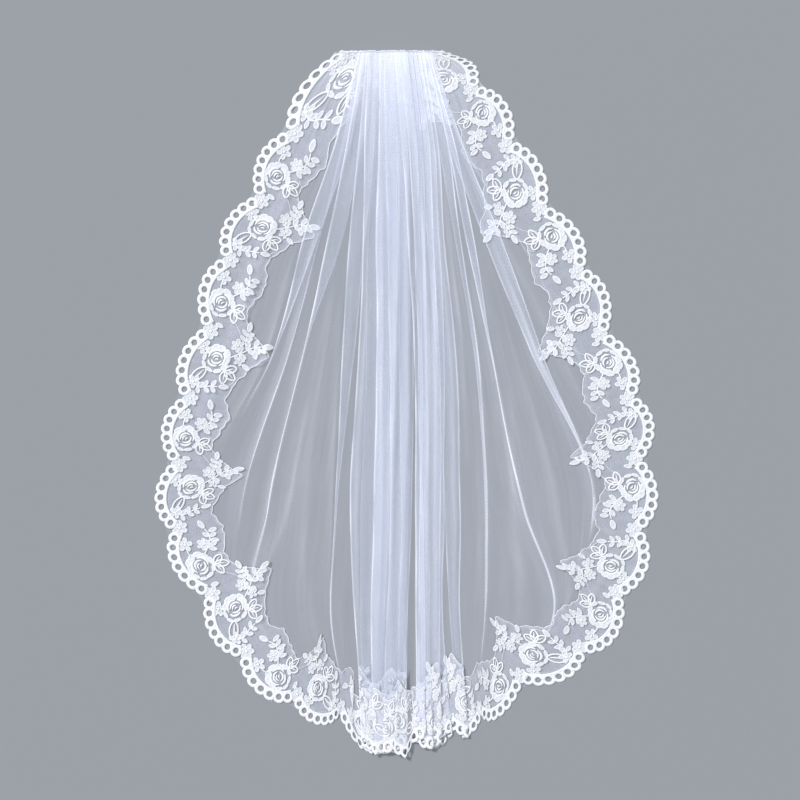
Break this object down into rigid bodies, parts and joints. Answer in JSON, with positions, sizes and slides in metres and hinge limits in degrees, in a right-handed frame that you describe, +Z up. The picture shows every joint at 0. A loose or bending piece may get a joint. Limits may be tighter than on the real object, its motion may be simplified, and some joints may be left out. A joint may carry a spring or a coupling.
{
  "type": "bridal veil",
  "caption": "Bridal veil of sheer tulle gathered along a short top edge, laid out flat as a fan with folds down its middle and a scalloped floral lace border.",
  "frame": {"origin": "middle of the laid veil's box, on the surface it lies on", "axes": "+Y from the hem towards the gathered heading, +Z up out of the surface, +X to the right seen from above"},
  "size_m": [0.6438, 0.9014, 0.0093],
  "materials": {
    "tulle": "sheer, soft and matt, with a faint silky sheen on the folds",
    "lace": "corded white embroidery with a satin thread sheen on fine net",
    "heading": "tightly gathered tulle over thread, soft white"
  },
  "bodies": {
    "root": {"tulle_panel": "tulle", "heading_cord": "heading", "lace_side_left": "lace", "lace_hem_left": "lace", "lace_fold_left": "lace", "lace_fold_middle": "lace", "lace_fold_right": "lace", "lace_hem_right": "lace", "lace_side_right": "lace"}
  },
  "joints": []
}
